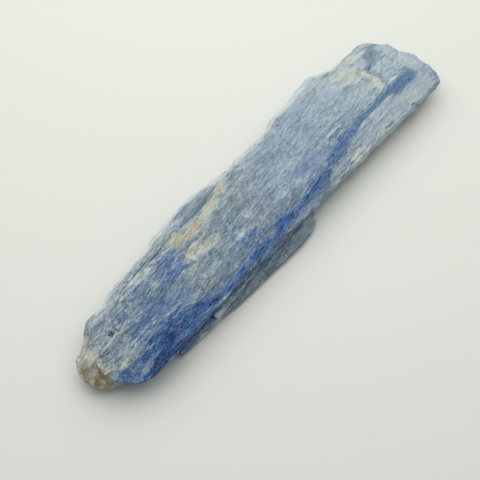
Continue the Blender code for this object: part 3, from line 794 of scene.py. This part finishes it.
def paint(mesh):
    """Writes where each colour lies as attributes of the mesh's points."""
    points = field(mesh.vertices, "co") / MM
    x, y, z = points.T
    warp = noise_at(points, "wander")
    streaky = warp + noise_at(points, "streaks")
    gritty = warp + noise_at(points, "grit")
    values = {}
    for name, marks in MARKS.items():
        soft = name in SOFT_MARKS
        values[name] = patches(points, marks, streaky if soft else gritty,
                               SOFT_BORDER if soft else CRISP_BORDER)
    vein = in_vein(points, streaky)
    values["blue"] = np.maximum(values["blue"], vein)
    for name in ("pale", "haze"):
        values[name] *= 1 - fade(vein, start=0.32, over=0.2)

    # The walls have no white ledges with their painted highlight, no gaps with their painted shade and no
    # pale marks, apart from the under blade, which is less blue
    upper = fade(z - 0.6 * streaky, start=2.3, over=1.2)
    on_top = np.where(y > 0, fade(z, start=3.9, over=0.3), upper)
    values["ledge_and_highlight"] = on_top * on_lines(points, LEDGES_AND_HIGHLIGHTS, gritty)
    values["gap_shade"] = on_top * on_lines(points, SHADED_GAPS, gritty)
    # The pale back edge is a painted highlight
    values["rim"] = on_back_rim_highlight(points, warp)
    about_under_blade = (y < -7) & (x > -28) & (x < 6)
    for name in ("mica", "cream", "pale"):
        values[name] *= np.where(about_under_blade, 1, upper)
    on_under_blade = about_under_blade * fade(-z, start=-2.5, over=0.3)
    values["blue"] *= 1 - 0.6 * on_under_blade

    # The crust stays under the top, and the fibres lie closer on it, the facet with its painted shade and
    # the dull faces
    values["crust"] *= fade(-z, start=-4.8, over=0.8)
    loose = np.interp(x, *LOOSENESS) + noise_at(points, "looseness")
    loose += 0.35 * np.clip(values["blue"] - 0.5, 0, 0.5)
    smoothed = 0.6 * np.clip(values["facet_tone_and_shade"] + values["crust"], 0, 1)
    smoothed += 0.4 * np.maximum(values["dull"], on_under_blade)
    values["loose"] = loose * (1 - smoothed)
    # The sharpness carries a painted highlight on convex edges and painted shade in creases, both fainter
    # over the blue
    values["sharp"] = sharpness(mesh) * (1.1 - 0.7 * np.clip(values["blue"], 0, 1))
    for name, value in values.items():
        mesh.attributes.new(name, "FLOAT", "POINT").data.foreach_set("value", value.astype(np.float32))
    return values


def crumble(mesh, values):
    """Raises the grains of the mica and swells the crust into lumps, along each point's normal."""
    co = field(mesh.vertices, "co")
    normal = field(mesh.vertex_normals, "vector")
    grains, lumps = noise_at(co / MM, "grains"), noise_at(co / MM, "lumps")
    off_table = fade(co[:, 2] / MM, start=0, over=0.5)
    swell = CRUST_LUMP * lumps - CRUST_SINK + CRUST_GRAIN * grains
    push = MICA_GRAIN * values["mica"] * grains + off_table * values["crust"] * swell
    co += normal * push[:, None] * MM
    mesh.vertices.foreach_set("co", co.ravel())
    mesh.update()


def linear(hex_colour):
    """An sRGB hex colour as linear RGBA."""
    parts = [int(hex_colour[i:i + 2], 16) / 255 for i in (1, 3, 5)]
    return (*(c / 12.92 if c <= 0.04045 else ((c + 0.055) / 1.055) ** 2.4 for c in parts), 1.0)


def add_node(tree, kind, inputs, output=0, **settings):
    """Adds a node with its settings and links. An input is a value or another node's output."""
    node = tree.nodes.new("ShaderNode" + kind)
    for key, value in settings.items():
        setattr(node, key, value)
    for key, value in inputs.items():
        if isinstance(value, bpy.types.NodeSocket):
            tree.links.new(value, node.inputs[key])
        else:
            node.inputs[key].default_value = value
    return node.outputs[output]


# Streaks and clouds: size along the fibres and across them in mm, turn in degrees, detail
STREAKS = {
    "fibre": (3, 0.3, 0, 3),
    "thread": (4, 0.15, 8, 2),
    "fine": (0.7, 0.1, 6, 3),
    "dash": (1.3, 0.14, 8, 2),
    "speck": (0.26, 0.17, 0, 3),
    "mottle": (1.5, 0.8, 10, 4),
    "cloud": (5, 2, 0, 4),
}
# Torn sheets and crust nodules: size along and across in mm, turn in degrees, how ragged
SHEETS = {
    "broad": (2.6, 0.7, 8, 0.35),
    "small": (0.95, 0.24, 10, 0.4),
    "nodule": (1.1, 0.9, 0, 0.5),
}
WOBBLE = {"Scale": 3.5, "Detail": 2.0}  # of the ragged borders, against the sheet's size

BODY = "#687c8c"
CLOUDED = ("cloud", 0.36, 0.64, "#87979f")  # its lighter clouds and their levels

# Colours from the body outwards: where they lie, the pattern that breaks their border up and by how
# much, the levels between which they come in, the most that they cover, and the colour itself
COLOURS = [
    ("blue", "mottle", -0.6, 0.08, 0.48, 1, "#587494"),
    ("blue", "mottle", -0.5, 0.32, 0.74, 1, "#3f6799"),
    ("blue", "mottle", -0.5, 0.65, 1, 1, "#264e88"),
    ("blue", "speck", -0.6, 0.9, 1.2, 1, "#042e62"),
    ("dull", "fine", 0.4, 0, 1, 0.7, "#506377"),
    # The facet's blue-grey, partly painted shade
    ("facet_tone_and_shade", "mottle", 0.4, 0.2, 0.8, 0.85, "#6b8296"),
    ("pale", "small", 0.5, 0.1, 0.9, 0.75, "#aebfca"),
    ("haze", "cloud", 0.6, 0.1, 0.9, 0.45, "#8095b4"),
    ("cream", "mottle", 0.9, 0.15, 0.9, 0.9, "#c2c7bc"),
    ("mica", "speck", -1.2, 0.2, 0.8, 0.85, "#bdb79d"),
    ("crust", "mottle", 0.6, 0.2, 0.7, 0.95, "#c4c4b9"),
    ("brown", "nodule", 0.7, 0.1, 0.8, 0.9, "#8a7d55"),
    ("brown", "nodule", 0.5, 0.85, 1.2, 0.9, "#85602a"),
]
# How much lighter or darker each pattern makes the colours that it lies on
SHADES = {"fine": 1.3, "speck": 1.5, "fibre": 0.7, "thread": 0.8, "mottle": 0.25, "small": 0.14,
          "broad": 0.08}
# Dark pinholes in the mica and joints between the crust's nodules: a pattern, the levels between which
# it comes in, its most, the mark and levels that say where it shows, and its colour
PITS = [
    ("speck", 0.53, 0.62, 0.9, "mica", 0.4, 0.9, "#75623c"),
    ("nodule_edge", 0.12, 0, 0.45, "crust", 0.4, 0.9, "#6b644c"),
]
WHITE = "#c6d0d4"
WHITE_OVER_BLUE = [(0.4, 0.8, "#86a3c6"), (0.8, 1.1, "#4d78b4")]
# White threads and torn edges, partly the fibres' own white and partly painted highlights, with the
# dashes and specks as painted glints, in the pits' form but without a colour
WHITES_AND_GLINTS = [
    ("small_edge", 0.08, 0, 0.4, "small", 0.4, 0.6),
    ("broad_edge", 0.05, 0, 0.45, "broad", 0.4, 0.6),
    ("dash", 0.6, 0.66, 0.8, "cloud", 0.38, 0.6),
    ("thread", 0.62, 0.67, 0.65, "mottle", 0.42, 0.6),
    ("speck", 0.62, 0.68, 0.8, "fine", 0.45, 0.6),
]
# Edges and gaps, in the colours' form: a painted highlight on convex edges, the back rim and the white
# ledges, then painted shade in the creases and the gaps. One without a colour is as white as the threads
EDGES = [
    ("sharp", "fine", 0.2, 0.06, 0.26, 0.5, None),
    ("rim", "fibre", 1.2, 0.2, 0.9, 0.8, "#d0d8d9"),
    ("ledge_and_highlight", "fine", 2.2, 0.15, 1.1, 0.75, "#c3cfd6"),
    ("sharp", "fine", 0.2, -0.08, -0.3, 0.3, "#3c4f63"),
    ("gap_shade", "fine", 1.2, 0.25, 0.8, 0.75, "#2c3d52"),
]
# How high each pattern stands, and how high in the mica and the crust alone
HEIGHTS = {"broad": 0.7, "small": 0.4, "fine": 0.6, "dash": 0.5, "thread": 0.4, "speck": 0.25}
HEIGHTS_IN = [("speck", "mica", 1), ("nodule_edge", "crust", 2)]
BUMP_DEPTH = 0.06
BUMP_STRENGTH = 0.7
# Satin: the fibres' levels, and the roughness that they give
SATIN = {"From Min": 0.3, "From Max": 0.7, "To Min": 0.36, "To Max": 0.56}
# Kyanite's refractive index, its soft gloss, and the little light that scatters under the surface
FINISH = {
    "IOR": 1.72,
    "Specular IOR Level": 0.08,
    "Subsurface Weight": 0.12,
    "Subsurface Radius": (0.7, 0.8, 1),
    "Subsurface Scale": 0.4 * MM,
}


def shown(tree, source, name, low, high, most, where, where_low, where_high):
    """How strongly a pattern comes in, within the places that another one gives it."""
    cover = add_node(tree, "MapRange", {
        "Value": source[name], "From Min": low, "From Max": high, "To Max": most})
    there = add_node(tree, "MapRange", {
        "Value": source[where], "From Min": where_low, "From Max": where_high})
    return add_node(tree, "Math", {0: cover, 1: there}, operation="MULTIPLY")


def laid_over(tree, colour, source, layers, interpolation, white=None):
    """The colour with layers over it, each of them where its mark and its pattern together say."""
    for name, breaker, amount, low, high, most, tint in layers:
        level = add_node(tree, "Math", {0: source[breaker], 1: amount, 2: source[name]},
                         operation="MULTIPLY_ADD")
        cover = add_node(tree, "MapRange", {
            "Value": level, "From Min": low + amount / 2, "From Max": high + amount / 2,
            "To Max": most}, interpolation_type=interpolation)
        colour = add_node(tree, "Mix", {0: cover, 6: colour, 7: linear(tint) if tint else white}, 2,
                          data_type="RGBA")
    return colour


def kyanite_material():
    """Kyanite: pearly, fibrous cleavage faces. Torn sheets lie along a grey-blue body, with deep
    blue in the thicker crystal, tan mica in the hollows and an iron-stained crust on one end."""
    material = bpy.data.materials.new("kyanite")
    material.use_nodes = True
    tree = material.node_tree
    shader = tree.nodes["Principled BSDF"]
    place_on = add_node(tree, "TexCoord", {}, "Object")
    run = {name: add_node(tree, "Mapping", {
        "Vector": place_on, "Scale": Vector((along, across, across)) * MM,
        "Rotation": (0, 0, math.radians(turn))}, vector_type="TEXTURE")
        for name, (along, across, turn, _) in (STREAKS | SHEETS).items()}
    source = {name: add_node(tree, "TexNoise", {
        "Vector": run[name], "Scale": 1.0, "Detail": detail}, "Fac")
        for name, (*_, detail) in STREAKS.items()}
    for name, (*_, ragged) in SHEETS.items():
        wobble = add_node(tree, "TexNoise", {"Vector": run[name], **WOBBLE}, "Color")
        torn_at = add_node(tree, "VectorMath", {0: wobble, 1: (ragged,) * 3, 2: run[name]},
                           operation="MULTIPLY_ADD")
        source[name] = add_node(tree, "TexVoronoi", {"Vector": torn_at, "Scale": 1.0}, "Color")
        source[name + "_edge"] = add_node(tree, "TexVoronoi", {"Vector": torn_at, "Scale": 1.0},
                                          "Distance", feature="DISTANCE_TO_EDGE")
    for name in [*MARKS, "ledge_and_highlight", "gap_shade", "rim", "sharp", "loose"]:
        source[name] = add_node(tree, "Attribute", {}, "Fac", attribute_name=name)

    clouds, low, high, tint = CLOUDED
    cover = add_node(tree, "MapRange", {
        "Value": source[clouds], "From Min": low, "From Max": high}, interpolation_type="SMOOTHSTEP")
    colour = add_node(tree, "Mix", {0: cover, 6: linear(BODY), 7: linear(tint)}, 2, data_type="RGBA")
    colour = laid_over(tree, colour, source, COLOURS, "SMOOTHSTEP")
    for *pits, tint in PITS:
        colour = add_node(tree, "Mix", {0: shown(tree, source, *pits), 6: colour, 7: linear(tint)}, 2,
                          data_type="RGBA")

    # Each torn sheet and fibre is a little lighter or darker than the crystal around it
    shade = -sum(SHADES.values()) / 2
    for name, amount in SHADES.items():
        shade = add_node(tree, "Math", {0: source[name], 1: amount, 2: shade}, operation="MULTIPLY_ADD")
    shade = add_node(tree, "Math", {0: shade, 1: source["loose"], 2: 1.0}, operation="MULTIPLY_ADD")
    colour = add_node(tree, "Mix", {0: 1.0, 6: colour, 7: shade}, 2,
                      data_type="RGBA", blend_type="MULTIPLY")

    # The torn edges, threads and painted glints are white, and light blue over the deep blue
    white = linear(WHITE)
    for low, high, tint in WHITE_OVER_BLUE:
        cover = add_node(tree, "MapRange", {"Value": source["blue"], "From Min": low, "From Max": high})
        white = add_node(tree, "Mix", {0: cover, 6: white, 7: linear(tint)}, 2, data_type="RGBA")
    for threads in WHITES_AND_GLINTS:
        cover = add_node(tree, "Math", {0: shown(tree, source, *threads), 1: source["loose"]},
                         operation="MULTIPLY", use_clamp=True)
        colour = add_node(tree, "Mix", {0: cover, 6: colour, 7: white}, 2, data_type="RGBA")
    # Painted highlights on the convex edges, the back rim and the ledges, and painted shade in the
    # creases and gaps
    colour = laid_over(tree, colour, source, EDGES, "LINEAR", white)
    tree.links.new(colour, shader.inputs["Base Color"])

    rough = add_node(tree, "MapRange", {"Value": source["fibre"], **SATIN})
    tree.links.new(rough, shader.inputs["Roughness"])
    height = 0.0
    for name, amount in HEIGHTS.items():
        height = add_node(tree, "Math", {0: source[name], 1: amount, 2: height}, operation="MULTIPLY_ADD")
    height = add_node(tree, "Math", {0: height, 1: source["loose"]}, operation="MULTIPLY")
    for name, where, amount in HEIGHTS_IN:
        there = add_node(tree, "Math", {0: source[where], 1: amount}, operation="MULTIPLY")
        height = add_node(tree, "Math", {0: source[name], 1: there, 2: height}, operation="MULTIPLY_ADD")
    bump = add_node(tree, "Bump", {
        "Height": height, "Strength": BUMP_STRENGTH, "Distance": BUMP_DEPTH * MM})
    tree.links.new(bump, shader.inputs["Normal"])
    for name, value in FINISH.items():
        shader.inputs[name].default_value = value
    return material


def cluster():
    """The one piece: all blades and laths and the crust, joined, cut and painted."""
    base, *grown = [blade_object(blade) for blade in BLADES + LATHS]
    piece = fused("kyanite_cluster", base, [*grown, *crust_lumps()], hollows())
    mesh = piece.data
    crumble(mesh, paint(mesh))
    mesh.transform(Matrix.Translation(Vector(DRAWN_AT) * MM))
    mesh.materials.clear()
    mesh.materials.append(kyanite_material())
    mesh.shade_smooth()
    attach(piece, "root")
    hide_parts(NODE)


# The photograph's view: 56 degrees above the table, towards the far end
VIEW_TURN = -50.0
VIEW_HEIGHT = 56.0
VIEW_DISTANCE = 163.0
VIEW_TARGET = (-7.1, -2.0, 3.0)
LENS = 85
SENSOR = 36
CLIP_FROM = 5

TABLE_HALF = 1500
# A window at the back left. Its direction and distance are from the frame's origin
WINDOW_AT = (0.24, 0.27, 0.93)
WINDOW_DISTANCE = 125
WINDOW_SIZE = 240
WINDOW_POWER = 0.232
ROOM_LIGHT = 0.40


def camera():
    """The photograph's view. Its axes run to the right, up, and back towards the camera."""
    a, e = math.radians(VIEW_TURN), math.radians(VIEW_HEIGHT)
    back = Vector((math.sin(a) * math.cos(e), -math.cos(a) * math.cos(e), math.sin(e)))
    right = Vector((math.cos(a), math.sin(a), 0))
    turned = Matrix((right, back.cross(right), back)).transposed().to_4x4()
    target = (Vector(VIEW_TARGET) + Vector(DRAWN_AT)) * MM
    lens = bpy.data.cameras.new("camera")
    lens.lens = LENS
    lens.sensor_width = SENSOR
    lens.clip_start = CLIP_FROM * MM
    obj = in_scene("camera", lens)
    obj.matrix_world = Matrix.Translation(target + back * VIEW_DISTANCE * MM) @ turned
    bpy.context.scene.camera = obj


def table():
    """Matt white board: an even pale ground without gloss."""
    bm = bmesh.new()
    bmesh.ops.create_grid(bm, x_segments=1, y_segments=1, size=TABLE_HALF * MM)
    floor = mesh_object("table", bm)
    material = bpy.data.materials.new("matt_white_board")
    material.use_nodes = True
    shader = material.node_tree.nodes["Principled BSDF"]
    shader.inputs["Base Color"].default_value = linear("#e4e6e0")
    shader.inputs["Roughness"].default_value = 0.85
    floor.data.materials.append(material)


def window():
    """A large square soft light that faces the cluster."""
    lamp = bpy.data.lights.new("window", "AREA")
    lamp.shape = "SQUARE"
    lamp.size = WINDOW_SIZE * MM
    lamp.energy = WINDOW_POWER
    lamp.color = linear("#fffefa")[:3]
    obj = in_scene("window", lamp)
    way = Vector(WINDOW_AT).normalized()
    obj.location = way * WINDOW_DISTANCE * MM
    obj.rotation_euler = way.to_track_quat("Z", "Y").to_euler()


def room():
    """Pale walls all around, as an even light."""
    world = bpy.data.worlds.new("pale_room")
    world.use_nodes = True
    background = world.node_tree.nodes["Background"]
    background.inputs["Color"].default_value = linear("#f2f4f5")
    background.inputs["Strength"].default_value = ROOM_LIGHT
    bpy.context.scene.world = world
    bpy.context.scene.view_settings.view_transform = "Standard"


cluster()
camera()
table()
window()
room()
